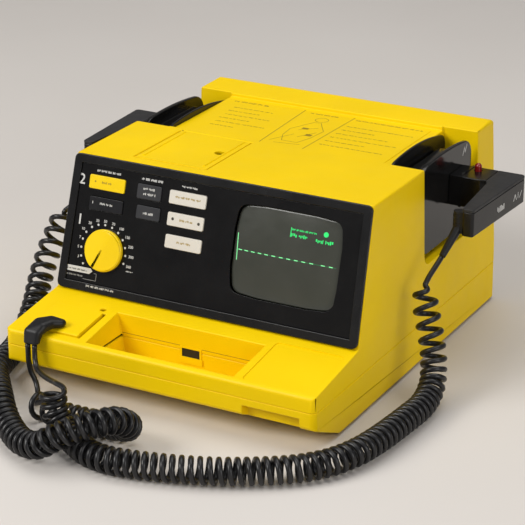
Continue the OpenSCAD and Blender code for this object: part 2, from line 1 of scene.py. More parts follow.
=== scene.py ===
"""Looks of a portable monitor and defibrillator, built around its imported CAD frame."""

import json
import math
import random

import bmesh
import bpy
import numpy as np
from mathutils import Matrix, Vector

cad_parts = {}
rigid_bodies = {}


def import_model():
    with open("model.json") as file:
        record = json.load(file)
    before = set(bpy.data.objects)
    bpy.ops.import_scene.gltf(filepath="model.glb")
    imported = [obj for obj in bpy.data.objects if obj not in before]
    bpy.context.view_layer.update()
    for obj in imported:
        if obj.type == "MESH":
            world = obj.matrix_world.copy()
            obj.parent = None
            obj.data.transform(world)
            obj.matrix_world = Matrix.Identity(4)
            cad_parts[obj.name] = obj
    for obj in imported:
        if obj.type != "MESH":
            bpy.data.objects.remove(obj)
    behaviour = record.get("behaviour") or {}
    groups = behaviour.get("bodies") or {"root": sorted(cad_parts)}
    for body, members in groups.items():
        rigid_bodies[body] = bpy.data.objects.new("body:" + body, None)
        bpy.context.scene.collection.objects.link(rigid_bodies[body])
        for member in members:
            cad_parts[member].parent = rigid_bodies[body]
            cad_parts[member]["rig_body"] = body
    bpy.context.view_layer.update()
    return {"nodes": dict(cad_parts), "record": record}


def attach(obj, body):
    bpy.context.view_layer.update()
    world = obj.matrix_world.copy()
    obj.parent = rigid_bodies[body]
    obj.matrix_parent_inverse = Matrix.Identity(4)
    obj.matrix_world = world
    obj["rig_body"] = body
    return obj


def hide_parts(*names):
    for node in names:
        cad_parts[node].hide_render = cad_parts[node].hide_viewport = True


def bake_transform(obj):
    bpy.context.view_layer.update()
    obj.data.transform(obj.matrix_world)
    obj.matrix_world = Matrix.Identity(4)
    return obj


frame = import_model()
SCENE = bpy.context.scene
MM = 0.001
HALF_DEPTH = 0.183  # routes below measure Y from the shelf front, as the part's source does


def at(x, y, z):
    """A point given in millimetres from the shelf front, as a vector in the row frame."""
    return Vector((x * MM, y * MM - HALF_DEPTH, z * MM))


# ---------------------------------------------------------------- camera

def make_camera():
    """The photograph's viewpoint: from the front right and above, through a long lens."""
    azimuth, elevation, roll = (math.radians(a) for a in (28.23, 22.02, 0.03))
    back = Vector((math.sin(azimuth) * math.cos(elevation),
                   -math.cos(azimuth) * math.cos(elevation), math.sin(elevation)))
    data = bpy.data.cameras.new("camera")
    data.lens, data.sensor_width = 141.33, 36.0
    data.clip_start, data.clip_end = 0.05, 30.0
    camera = bpy.data.objects.new("camera", data)
    camera.location = (0.789, -1.4687, 0.7459)
    camera.rotation_mode = "QUATERNION"
    tilt = Matrix.Rotation(roll, 3, "Z").to_quaternion()
    camera.rotation_quaternion = (-back).to_track_quat("-Z", "Y") @ tilt
    SCENE.collection.objects.link(camera)
    SCENE.camera = camera


make_camera()


# ---------------------------------------------------------------- node materials

class Nodes:
    """A material's node tree with short calls for the nodes used here."""

    def __init__(self, name):
        self.material = bpy.data.materials.new(name)
        self.material.use_nodes = True
        self.tree = self.material.node_tree
        self.bsdf = self.tree.nodes["Principled BSDF"]
        self.point = self.tree.nodes.new("ShaderNodeTexCoord").outputs["Object"]

    def link(self, source, target):
        self.tree.links.new(source, target)

    def noise(self, scale, detail=3.0, roughness=0.55, stretch=None):
        node = self.tree.nodes.new("ShaderNodeTexNoise")
        node.inputs["Scale"].default_value = scale
        node.inputs["Detail"].default_value = detail
        node.inputs["Roughness"].default_value = roughness
        source = self.point
        if stretch:
            mapping = self.tree.nodes.new("ShaderNodeMapping")
            mapping.inputs["Scale"].default_value = stretch
            self.link(source, mapping.inputs["Vector"])
            source = mapping.outputs["Vector"]
        self.link(source, node.inputs["Vector"])
        return node.outputs["Fac"]

    def ramp(self, fac, stops):
        node = self.tree.nodes.new("ShaderNodeValToRGB")
        ramp = node.color_ramp
        while len(ramp.elements) < len(stops):
            ramp.elements.new(0.5)
        for element, (place, value) in zip(ramp.elements, stops):
            element.position = place
            element.color = value if len(value) == 4 else (*value, 1.0)
        self.link(fac, node.inputs["Fac"])
        return node.outputs["Color"]

    def to_range(self, fac, low, high, out_low, out_high):
        node = self.tree.nodes.new("ShaderNodeMapRange")
        for name, value in (("From Min", low), ("From Max", high), ("To Min", out_low), ("To Max", out_high)):
            node.inputs[name].default_value = value
        self.link(fac, node.inputs["Value"])
        return node.outputs["Result"]

    def mix(self, fac, a, b):
        node = self.tree.nodes.new("ShaderNodeMix")
        node.data_type = "RGBA"
        for socket, value in ((node.inputs[0], fac), (node.inputs[6], a), (node.inputs[7], b)):
            if isinstance(value, bpy.types.NodeSocket):
                self.link(value, socket)
            elif isinstance(value, tuple):
                socket.default_value = (*value, 1.0)
            else:
                socket.default_value = value
        return node.outputs[2]

    def bump(self, height, distance, strength=1.0, normal=None):
        node = self.tree.nodes.new("ShaderNodeBump")
        node.inputs["Strength"].default_value = strength
        node.inputs["Distance"].default_value = distance
        self.link(height, node.inputs["Height"])
        if normal is not None:
            self.link(normal, node.inputs["Normal"])
        return node.outputs["Normal"]

    def set(self, **values):
        for name, value in values.items():
            self.bsdf.inputs[name.replace("_", " ")].default_value = value


def moulded(name, colour, roughness, tone=0.06, grain=0.00004, coat=0.0, dust=0.0, specular=0.5):
    """Moulded plastic: cloudy tone, fine grain, handling marks in the gloss and a little dust.
    tone is how far the colour wanders, grain the depth of the texture in metres, dust how much shows."""
    n = Nodes(name)
    dark = tuple(c * (1 - tone) for c in colour)
    light = tuple(min(1.0, c * (1 + tone)) for c in colour)
    base = n.ramp(n.noise(9, 4), [(0.35, dark), (0.65, light)])
    if dust:
        specks = n.to_range(n.noise(520, 2, 0.7), 0.62, 0.75, 0.0, dust)
        base = n.mix(specks, base, (0.55, 0.53, 0.5))
    n.link(base, n.bsdf.inputs["Base Color"])
    marks = n.noise(38, 5, 0.65)
    n.link(n.to_range(marks, 0.3, 0.7, roughness * 0.82, roughness * 1.2), n.bsdf.inputs["Roughness"])
    fine = n.bump(n.noise(1600, 2, 0.5), grain, 0.6)
    n.link(n.bump(n.noise(60, 2), 0.00012, 0.25, fine), n.bsdf.inputs["Normal"])
    n.set(Specular_IOR_Level=specular, Coat_Weight=coat, Coat_Roughness=0.08)
    return n.material


def metal(name, colour, roughness, stretch, scale=900):
    """Brushed or drawn metal, with fine lines across the direction that stretch enlarges."""
    n = Nodes(name)
    lines = n.noise(scale, 3, 0.6, stretch)
    base = n.ramp(n.noise(25, 4), [(0.3, tuple(c * 0.85 for c in colour)), (0.7, colour)])
    n.link(base, n.bsdf.inputs["Base Color"])
    n.link(n.to_range(lines, 0.3, 0.7, roughness * 0.7, roughness * 1.3), n.bsdf.inputs["Roughness"])
    n.link(n.bump(lines, 0.00003, 0.5), n.bsdf.inputs["Normal"])
    n.set(Metallic=1.0)
    return n.material


YELLOW = moulded("case_yellow", (0.88, 0.6, 0.001), 0.4, tone=0.035, grain=0.00003, specular=0.14)
KNOB_YELLOW = moulded("knob_yellow", (0.86, 0.6, 0.004), 0.24, tone=0.03, specular=0.4)
BLACK = moulded("moulded_black", (0.01, 0.01, 0.0105), 0.4, tone=0.25, dust=0.03, specular=0.28)
SATIN = moulded("satin_black", (0.008, 0.008, 0.0085), 0.24, tone=0.2, dust=0.01, specular=0.32)
GLOSS = moulded("gloss_black", (0.005, 0.0048, 0.005), 0.2, tone=0.15, grain=0.00001,
                dust=0.006, specular=0.3)
GREY_CAP = moulded("cap_black", (0.024, 0.024, 0.025), 0.5, tone=0.2, grain=0.00008, dust=0.05, specular=0.3)
CORD = moulded("cord_jacket", (0.009, 0.009, 0.01), 0.32, tone=0.15, dust=0.02, specular=0.4)
RUBBER = moulded("rubber", (0.025, 0.025, 0.025), 0.7, tone=0.2, dust=0.12)


# ---------------------------------------------------------------- geometry helpers

def mesh_object(name, points, faces, material, smooth=True):
    mesh = bpy.data.meshes.new(name)
    mesh.from_pydata([tuple(p) for p in points], [], faces)
    mesh.update()
    piece = bpy.data.objects.new(name, mesh)
    SCENE.collection.objects.link(piece)
    mesh.materials.append(material)
    if smooth:
        mesh.shade_smooth()
    return piece


def spline(points, step):
    """A smooth centripetal line through the points, as an array with points about step apart."""
    p = np.array([tuple(q) for q in points], float)
    p = np.vstack([2 * p[0] - p[1], p, 2 * p[-1] - p[-2]])
    out = []
    for i in range(1, len(p) - 2):
        a, b, c, d = p[i - 1:i + 3]
        knots = np.cumsum([0, *(np.sqrt(np.linalg.norm(w)) for w in (b - a, c - b, d - c))])
        count = max(2, math.ceil(np.linalg.norm(c - b) / step))
        for t in np.linspace(knots[1], knots[2], count, endpoint=False):
            def mix(u, v, k, m):
                return ((knots[m] - t) * u + (t - knots[k]) * v) / (knots[m] - knots[k])
            ab, bc, cd = mix(a, b, 0, 1), mix(b, c, 1, 2), mix(c, d, 2, 3)
            out.append(mix(mix(ab, bc, 0, 2), mix(bc, cd, 1, 3), 1, 2))
    out.append(p[-2])
    return np.array(out)


def lengths(line):
    """How far along the line each of its points is."""
    return np.concatenate([[0], np.cumsum(np.linalg.norm(np.diff(line, axis=0), axis=1))])


def resample(line, count):
    """The same line as count evenly spaced points."""
    along = lengths(line)
    s = np.linspace(0, along[-1], count)
    return np.stack([np.interp(s, along, line[:, k]) for k in range(3)], axis=1)


def frames(line):
    """Directions along a line, and two at right angles that turn as little as possible."""
    t = np.gradient(line, axis=0)
    t /= np.linalg.norm(t, axis=1)[:, None]
    u = np.array((0.3, 0.2, 1.0))
    side = []
    for d in t:
        u = u - (u @ d) * d
        u /= np.linalg.norm(u)
        side.append(u)
    side = np.array(side)
    return t, side, np.cross(t, side)


def tube(name, line, radius, material):
    """A closed mesh tube along a line."""
    _, u, v = frames(line)
    sides = 10
    angle = np.arange(sides) * 2 * np.pi / sides
    ring = np.cos(angle)[None, :, None] * u[:, None] + np.sin(angle)[None, :, None] * v[:, None]
    points = (line[:, None] + radius * ring).reshape(-1, 3)
    faces = []
    for i in range(len(line) - 1):
        a, b = i * sides, (i + 1) * sides
        faces += [(a + k, a + (k + 1) % sides, b + (k + 1) % sides, b + k) for k in range(sides)]
    faces.append(tuple(range(sides))[::-1])
    faces.append(tuple(range((len(line) - 1) * sides, len(line) * sides)))
    return mesh_object(name, points, faces, material)


# ---------------------------------------------------------------- the tilted front panel

LEAN = math.radians(16.3)
UP = Vector((0, math.sin(LEAN), math.cos(LEAN)))
OUT = Vector((0, -math.cos(LEAN), math.sin(LEAN)))
PANEL_Y, PANEL_Z = 78.6, 60.1  # the middle of the panel's lower edge
FACE, KEY_TOP, BEZEL_TOP = 2.02, 3.1, 3.5  # how far the panel's face, the keys and the bezel stand out
GLASS_U, GLASS_V = 69, 62.5  # the middle of the screen
GLASS_R, GLASS_TOP = 600, 1.4  # the radius of the glass, and how far its crown stands out
GLASS_BACK = -4.9  # just in front of the flat back of the glass


def on_panel(u, v, h):
    """A point on the tilted front panel: across, up and out, in millimetres."""
    return at(u, PANEL_Y + v * math.sin(LEAN) - h * math.cos(LEAN),
              PANEL_Z + v * math.cos(LEAN) + h * math.sin(LEAN))


def on_face(u, v, h):
    return on_panel(u, v, FACE + h)


def on_bezel(u, v, h):
    return on_panel(u, v, BEZEL_TOP + h)


def on_key(u, v, h):
    return on_panel(u, v, KEY_TOP + h)


def on_glass(u, v, h=0.0):
    """A point above the bulging screen."""
    bulge = math.sqrt(GLASS_R ** 2 - (u - GLASS_U) ** 2 - (v - GLASS_V) ** 2) - GLASS_R
    return on_panel(u, v, GLASS_TOP + bulge + h)


# ---------------------------------------------------------------- cords

CORD_D = 0.0046
HELIX_R = 0.0092  # from the coil's middle to the cord's middle
TURN_POINTS = 16

APEX_LEAD = [at(*p) for p in (
    (170.45, 179.9, 110.2), (169.3, 174.5, 106.2), (168, 169, 102), (166.8, 163.5, 97.8), (166, 158, 93))]
APEX_COIL = [at(*p) for p in (
    (166, 158, 93), (168, 154, 80), (173, 150, 66), (178, 146, 53), (182, 142, 42), (185, 137, 31),
    (188, 129, 21), (190, 115, 14), (191, 98, 12), (190, 80, 12), (188, 55, 12), (185, 28, 12), (179, 0, 12),
    (168, -24, 12), (151, -44, 12), (124, -63, 12), (98, -77, 12), (72, -87, 12), (52, -93, 12),
    (33, -97.5, 12), (15, -99.5, 12), (-2, -96.5, 12), (-14, -90.5, 12), (-24, -84.5, 12.4), (-33, -79.5, 14),
    (-40.6, -75.8, 18), (-45.8, -73.6, 24), (-48.4, -72.8, 31), (-49.4, -72.6, 37.5), (-49.6, -72.5, 43.5))]
APEX_TAIL = [at(*p) for p in (
    (-110.1, -8.5, 45.2), (-109.7, -9.3, 38), (-108, -11.5, 32), (-103.5, -15.5, 28.2), (-95, -22.5, 28.4),
    (-86, -30, 30.5), (-74, -39.4, 34), (-64, -48, 38), (-57, -56, 42), (-52, -64.5, 44.6),
    (-49.6, -72.5, 43.5))]
STERNUM_LEAD = [at(*p) for p in (
    (-170.35, 179.3, 109.8), (-170.9, 175, 107), (-173.2, 168, 104.5), (-177, 158, 103.5), (-180, 148, 100))]
STERNUM_COIL = [at(*p) for p in (
    (-180, 148, 100), (-180, 137, 88), (-181, 125, 75), (-180, 112, 61), (-177, 98, 48), (-172, 82, 34),
    (-168, 62, 20), (-164, 41, 13), (-159, 18, 12), (-151.5, -7, 12), (-137, -26, 12), (-121, -45, 12),
    (-102.5, -67, 12), (-79, -90, 12), (-57, -105.5, 12.4), (-38, -112, 17), (-24, -111, 26),
    (-10, -104, 33.5), (3.5, -93, 37), (12, -78, 35), (13, -63, 25), (5, -52.5, 16), (-8, -49, 12.4),
    (-22, -50, 12), (-36, -51, 12), (-50, -51, 12), (-63, -50, 12), (-75, -47.5, 12), (-86.5, -44.5, 12))]
STERNUM_TAIL = [at(*p) for p in (
    (-116.8, -8.5, 45.2), (-116.7, -8.6, 38), (-116.3, -8.8, 29), (-114.6, -8.8, 20.5), (-110.3, -9, 12.5),
    (-105.8, -13, 7), (-102, -19.5, 4), (-99, -27.5, 3.2), (-95.5, -35.5, 4.2), (-91.5, -41.5, 7.6),
    (-86.5, -44.5, 12))]


def curly(route, lead, pitch_at, leave):
    """The wire's own line: the straight lead from the paddle, then a helix down the route.
    The helix ends at full width on the side of the route where its wire runs in the direction leave."""
    axis = spline(route, 0.001)
    along = lengths(axis)
    t, u, v = frames(axis)
    pitch = np.array([pitch_at(Vector(p)) for p in axis])
    turns = np.concatenate([[0], np.cumsum(np.diff(along) / ((pitch[1:] + pitch[:-1]) / 2))])
    wanted = np.linspace(0, turns[-1], math.ceil(turns[-1] * TURN_POINTS))
    s = np.interp(wanted, turns, along)

    def pick(values):
        return np.stack([np.interp(s, along, values[:, k]) for k in range(3)], axis=1)

    out = np.cross(np.array(leave), t[-1])
    phase = math.atan2(out @ v[-1], out @ u[-1]) - 2 * math.pi * turns[-1]
    opening_turns = 0.9
    swell = np.clip(wanted / opening_turns, 0, 1)
    radius = HELIX_R * swell * swell * (3 - 2 * swell)
    angle = 2 * np.pi * wanted + phase
    sideways = np.cos(angle)[:, None] * pick(u) + np.sin(angle)[:, None] * pick(v)
    helix = pick(axis) + radius[:, None] * sideways
    return np.vstack([spline(lead, 0.003)[:-1], helix])


def hanging(low, high, near, far, end, loose):
    """The pitch of the helix: near on the floor, far where it hangs high beside the case, and loose by
    its end at the tail. low and high are the heights between which the pitch grows."""
    front, loose_length = -0.12, 0.045

    def pitch(p):
        w = min(1.0, max(0.0, (p.z - low) / (high - low))) if p.y > front else 0.0
        last = max(0.0, 1 - (p - end).length / loose_length)
        return near + (far - near) * w * w * (3 - 2 * w) + (loose - near) * last
    return pitch


def make_cord(side, coil, lead, tail, pitch, leave):
    """One paddle's cord: a curly piece from the paddle's lead down its route, and a tail that runs from its
    end to the plug. leave is the wire's direction from the coil into the tail."""
    leave = Vector(leave).normalized()
    line = curly(coil, lead, pitch, leave)
    joint = Vector(line[-1])
    cord = tube(side + "_cord", line, CORD_D / 2, CORD)
    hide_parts(side + "_coil", side + "_lead")
    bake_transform(cord)

    apart, run_in = 0.017, 0.005
    stops = [p for p in tail if (p - tail[-1]).length > apart]
    tail_line = spline(stops + [joint + leave * run_in, joint], 0.0025)
    end = tube(side + "_cord_tail", tail_line, CORD_D / 2, CORD)
    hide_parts(side + "_tail")
    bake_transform(end)


make_cord("apex", APEX_COIL, APEX_LEAD, APEX_TAIL,
          hanging(0.02, 0.06, 0.0072, 0.0125, APEX_COIL[-1], 0.0072),
          leave=(-0.7, 0.7, 0.05))
make_cord("sternum", STERNUM_COIL, STERNUM_LEAD, STERNUM_TAIL,
          hanging(0.03, 0.07, 0.0072, 0.012, STERNUM_COIL[-1], 0.0145),
          leave=(0.09, 0.5, -0.85))


# ---------------------------------------------------------------- moulded pieces with soft edges

def smooth_regions(bm, limit):
    """Numbers each face by the smooth area that it belongs to, and gives the mean width of each area."""
    region, widths = {}, []
    for seed in bm.faces:
        if seed in region:
            continue
        number, queue, area, rim = len(widths), [seed], 0.0, 0.0
        region[seed] = number
        while queue:
            face = queue.pop()
            area += face.calc_area()
            for edge in face.edges:
                others = [f for f in edge.link_faces if f is not face]
                if len(others) == 1 and edge.calc_face_angle(0.0) < limit:
                    if others[0] not in region:
                        region[others[0]] = number
                        queue.append(others[0])
                else:
                    rim += edge.calc_length()
        widths.append(2 * area / max(rim, 1e-9))
    return region, widths


def shell(node, material, edge, least=2.3, segments=3):
    """A copy of a CAD node with its edges rounded by edge, which stands for it. Areas narrower than
    least times edge keep their sharp edges, because a rounding would eat them up."""
    limit = math.radians(28)
    bm = bmesh.new()
    bm.from_mesh(frame["nodes"][node].data)
    bmesh.ops.remove_doubles(bm, verts=bm.verts, dist=1e-5)
    bmesh.ops.dissolve_limit(bm, angle_limit=math.radians(0.5), verts=bm.verts, edges=bm.edges)
    if edge:
        region, widths = smooth_regions(bm, limit)
        edges = [e for e in bm.edges if len(e.link_faces) == 2 and e.calc_face_angle(0.0) > limit
                 and all(widths[region[f]] > least * edge for f in e.link_faces)]
        bmesh.ops.bevel(bm, geom=edges, offset=edge, offset_type="OFFSET", segments=segments, profile=0.5,
                        affect="EDGES", clamp_overlap=False)
    mesh = bpy.data.meshes.new(node + "_looks")
    bm.to_mesh(mesh)
    bm.free()
    mesh.materials.append(material)
    mesh.shade_smooth()
    mesh.set_sharp_from_angle(angle=math.radians(40))
    piece = bpy.data.objects.new(node + "_looks", mesh)
    SCENE.collection.objects.link(piece)
    weighted = piece.modifiers.new("weighted", "WEIGHTED_NORMAL")
    weighted.keep_sharp = True
    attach(piece, frame["nodes"][node]["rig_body"])
    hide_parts(node)
    return piece


# ---------------------------------------------------------------- print and small marks

def bar(u0, v0, u1, v1):
    return [(u0, v0), (u1, v0), (u1, v1), (u0, v1)]


def stroke(a, b, width):
    a, b = Vector(a), Vector(b)
    side = (b - a).normalized().orthogonal() * width / 2
    return [tuple(p) for p in (a + side, a - side, b - side, b + side)]


def dashes(a, b, width):
    """A stroke in short pieces end to end, to follow a bulging face."""
    a, b = Vector(a), Vector(b)
    longest = 5.0
    count = math.ceil((b - a).length / longest)
    return [stroke(a.lerp(b, i / count), a.lerp(b, (i + 1) / count), width) for i in range(count)]


def chain(points, width):
    """Strokes from each point to the next."""
    return [stroke(a, b, width) for a, b in zip(points[:-1], points[1:])]


def circle(u, v, r, sides):
    turns = [i * 2 * math.pi / sides for i in range(sides)]
    return [(u + r * math.cos(a), v + r * math.sin(a)) for a in turns]


def disc(u, v, r):
    return circle(u, v, r, 14)


def ring(u, v, r, width):
    around = circle(u, v, r, 20)
    return chain(around + around[:1], width)


def lettering(u0, v0, u1, height, seed):
    """Upright strokes in groups, in the place of a line of small lettering that isn't reproduced."""
    rng = random.Random(seed)
    out, u = [], u0
    while u < u1 - height * 0.4:
        for _ in range(rng.randint(3, 6)):
            width = height * rng.uniform(0.22, 0.4)
            if u + width > u1:
                break
            low = v0 + (height * 0.3 if rng.random() < 0.3 else 0.0)
            out.append(bar(u, low, u + width, v0 + height * rng.choice((0.75, 1.0))))
            u += width + height * 0.16
        u += height * 0.5
    return out


def figures(text, size, u, v):
    """The flat shapes of a number, centred on a place."""
    curve = bpy.data.curves.new("figures", "FONT")
    curve.body, curve.size, curve.align_x, curve.align_y = text, size, "CENTER", "CENTER"
    curve.offset = size * 0.012
    carrier = bpy.data.objects.new("figures", curve)
    SCENE.collection.objects.link(carrier)
    mesh = bpy.data.meshes.new_from_object(carrier.evaluated_get(bpy.context.evaluated_depsgraph_get()))
    spots = [(u + vertex.co.x, v + vertex.co.y) for vertex in mesh.vertices]
    out = [[spots[i] for i in p.vertices] for p in mesh.polygons]
    bpy.data.objects.remove(carrier)
    bpy.data.curves.remove(curve)
    bpy.data.meshes.remove(mesh)
    return out


def printed(name, shapes, place, material, body, thick=0.05):
    """Thin raised shapes on a surface: place turns (across, up, out) into a point of the row frame."""
    sink = 0.1
    points, faces = [], []
    for shape in shapes:
        n, first = len(shape), len(points)
        points += [place(u, v, -sink) for u, v in shape] + [place(u, v, thick) for u, v in shape]
        faces.append(tuple(first + n + i for i in range(n)))
        faces += [(first + i, first + (i + 1) % n, first + n + (i + 1) % n, first + n + i) for i in range(n)]
    piece = mesh_object(name, points, faces, material, smooth=False)
    bm = bmesh.new()
    bm.from_mesh(piece.data)
    bmesh.ops.recalc_face_normals(bm, faces=bm.faces)
    bm.to_mesh(piece.data)
    bm.free()
    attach(piece, body)


# ---------------------------------------------------------------- more materials

def ink(name, colour, emission=0.0):
    n = Nodes(name)
    base = n.ramp(n.noise(900, 2), [(0.3, tuple(c * 0.86 for c in colour)), (0.7, colour)])
    n.link(base, n.bsdf.inputs["Base Color"])
    n.set(Roughness=0.5, Specular_IOR_Level=0.3)
    if emission:
        n.set(Emission_Color=(*colour, 1.0), Emission_Strength=emission)
    return n.material


def glass_material():
    """The dark face of a switched-on tube: smoky grey green, with faint smears."""
    n = Nodes("screen_glass")
    base = n.ramp(n.noise(7, 3), [(0.3, (0.036, 0.039, 0.031)), (0.7, (0.05, 0.053, 0.043))])
    n.link(base, n.bsdf.inputs["Base Color"])
    n.link(n.to_range(n.noise(30, 5, 0.7, (1, 3, 1)), 0.35, 0.75, 0.16, 0.3), n.bsdf.inputs["Roughness"])
    n.link(n.bump(n.noise(14, 2), 0.0001, 0.15), n.bsdf.inputs["Normal"])
    n.set(Specular_IOR_Level=0.55)
    return n.material


def board_material():
    """Green lacquer with faint copper tracks."""
    n = Nodes("circuit_board")
    tracks = n.noise(260, 4, 0.7, (1, 1, 4))
    stops = [(0.42, (0.012, 0.075, 0.03)), (0.5, (0.03, 0.14, 0.06)), (0.62, (0.3, 0.24, 0.1))]
    n.link(n.ramp(tracks, stops), n.bsdf.inputs["Base Color"])
    n.link(n.bump(tracks, 0.0002, 0.5), n.bsdf.inputs["Normal"])
    n.set(Roughness=0.4)
    return n.material


GLASS = glass_material()
BOARD = board_material()
KEY_DARK = moulded("key_dark", (0.009, 0.009, 0.011), 0.3, tone=0.2, dust=0.02, specular=0.3)
KEY_GREY = moulded("key_grey", (0.026, 0.027, 0.031), 0.38, tone=0.15, dust=0.03, specular=0.3)
KEY_WHITE = moulded("key_white", (0.66, 0.63, 0.56), 0.42, tone=0.03, dust=0.03)
BUTTON_RED = moulded("button_red", (0.24, 0.006, 0.005), 0.18, tone=0.1, coat=0.3)
MIRROR = moulded("guard_black", (0.007, 0.0068, 0.0065), 0.12, tone=0.15, grain=0.000006, dust=0.01,
                 specular=0.42)
PAPER = moulded("chart_paper", (0.78, 0.76, 0.7), 0.8, tone=0.03, specular=0.2)
STEEL = metal("bare_metal", (0.6, 0.6, 0.61), 0.32, (1, 12, 1))
ELECTRODE = metal("electrode_steel", (0.68, 0.68, 0.69), 0.2, (1, 1, 14))
COPPER = metal("copper_winding", (0.62, 0.28, 0.13), 0.38, (1, 1, 20), 1500)
BLUE = moulded("capacitor_blue", (0.03, 0.07, 0.2), 0.35, tone=0.12, dust=0.05)
WHITE_INK = ink("white_print", (0.62, 0.62, 0.6))
SOFT_INK = ink("grey_print", (0.3, 0.3, 0.29))
DARK_INK = ink("dark_print", (0.05, 0.045, 0.03))
LABEL_INK = ink("label_print_ink", (0.33, 0.215, 0.012))
GREEN_INK = ink("trace_green", (0.02, 0.62, 0.14), emission=0.55)
PALE_GREEN_INK = ink("trace_pale", (0.16, 0.62, 0.25), emission=0.75)
FAINT_GREEN_INK = ink("trace_faint", (0.01, 0.16, 0.05), emission=0.18)
# painted shade: a flat near-black that stands in for the shade inside the tray's slot
SLOT_SHADE = moulded("slot_painted_shade", (0.006, 0.006, 0.006), 0.6, tone=0.3, dust=0.02)


# ---------------------------------------------------------------- the pieces

shell("lower_case", YELLOW, 0.0009)
shell("upper_case", YELLOW, 0.0009)
shell("recorder_door", YELLOW, 0.00028)
shell("paddle_plug", YELLOW, 0.0006)
shell("instruction_label", YELLOW, 0.00012)
shell("front_bezel", SATIN, 0.0007)
shell("control_panel", GLOSS, 0.0002)
shell("energy_knob", KNOB_YELLOW, 0.0005, least=1.6, segments=2)
for key, material, slot in (("charge", KNOB_YELLOW, "key_yellow"), ("disarm", KEY_DARK, "key_dark"),
                            ("sync", KEY_GREY, "key_grey"), ("alarm", KEY_GREY, "key_grey"),
                            ("lead", KEY_WHITE, "key_white"), ("size", KEY_WHITE, "key_white"),
                            ("record", KEY_WHITE, "key_white")):
    shell(key + "_key", material, 0.0004)
for side in ("apex", "sternum"):
    shell(side + "_holder", SATIN, 0.0006)
    shell(side + "_base", MIRROR, 0.0009)
    shell(side + "_handle", GLOSS, 0.0008)
    shell(side + "_handle_cap", GREY_CAP, 0.0006)
    shell(side + "_shock_button", BUTTON_RED, 0.0004)
    shell(side + "_strain_relief", BLACK, 0.00025)
    shell(side + "_electrode", ELECTRODE, 0.0004)


def make_boot():
    """The boot on the plug: the CAD's hull, melted into one soft moulding."""
    piece = shell("plug_boot", BLACK, 0)
    piece.modifiers.clear()
    melt = piece.modifiers.new("melt", "REMESH")
    melt.mode, melt.voxel_size, melt.use_smooth_shade = "VOXEL", 0.0006, True
    soften = piece.modifiers.new("soften", "SMOOTH")
    soften.factor, soften.iterations = 0.5, 12
    mesh = bpy.data.meshes.new_from_object(piece.evaluated_get(bpy.context.evaluated_depsgraph_get()))
    piece.modifiers.clear()
    piece.data = mesh


make_boot()


def window_rim():
    """The outline of the glass, across and up, read from the flat back of its CAD solid."""
    middle = on_panel(0, GLASS_V, 0)
    found = set()
    for vertex in frame["nodes"]["crt_window"].data.vertices:
        away = vertex.co - middle
        if away.dot(OUT) < GLASS_BACK * MM:
            found.add((round(away.x / MM, 2), round(away.dot(UP) / MM + GLASS_V, 2)))
    rim = sorted(found, key=lambda p: math.atan2(p[1] - GLASS_V, p[0] - GLASS_U))
    return resample(spline([(u, v, 0) for u, v in rim + rim[:1]], 0.8), 161)[:-1, :2]


def make_window():
    """The bulging glass of the tube, as smooth rings that roll over at the rim."""
    rim = window_rim()
    rings = [(k / 24, 0.0) for k in range(1, 24)] + [(0.985, 0.0), (0.994, -0.25), (0.999, -0.8), (1.0, -2.2)]
    points, faces = [on_glass(GLASS_U, GLASS_V)], []
    for scale, drop in rings:
        for u, v in rim:
            points.append(on_glass(GLASS_U + (u - GLASS_U) * scale, GLASS_V + (v - GLASS_V) * scale, drop))
    n = len(rim)
    faces += [(0, 1 + i, 1 + (i + 1) % n) for i in range(n)]
    for k in range(len(rings) - 1):
        a, b = 1 + k * n, 1 + (k + 1) * n
        faces += [(a + i, b + i, b + (i + 1) % n, a + (i + 1) % n) for i in range(n)]
    piece = mesh_object("crt_window_looks", points, faces, GLASS)
    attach(piece, "case")
    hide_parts("crt_window")


make_window()

INSIDE = {"bare_metal": STEEL, "copper_winding": COPPER, "circuit_board": BOARD, "chart_paper": PAPER,
          "foot_rubber": RUBBER, "capacitor_blue": BLUE, "moulded_black": BLACK, "cord_black": CORD,
          "electrode_steel": ELECTRODE, "screen_glass": GLASS}
slot_of = {s["node"]: s["material_slot"] for s in frame["record"]["subparts"]}
for node, piece in frame["nodes"].items():
    piece.data.materials.clear()
    piece.data.materials.append(INSIDE.get(slot_of[node], BLACK))


# ---------------------------------------------------------------- print on the panel, the keys and the screen

DIAL_U, DIAL_V = -102, 38  # the middle of the energy dial


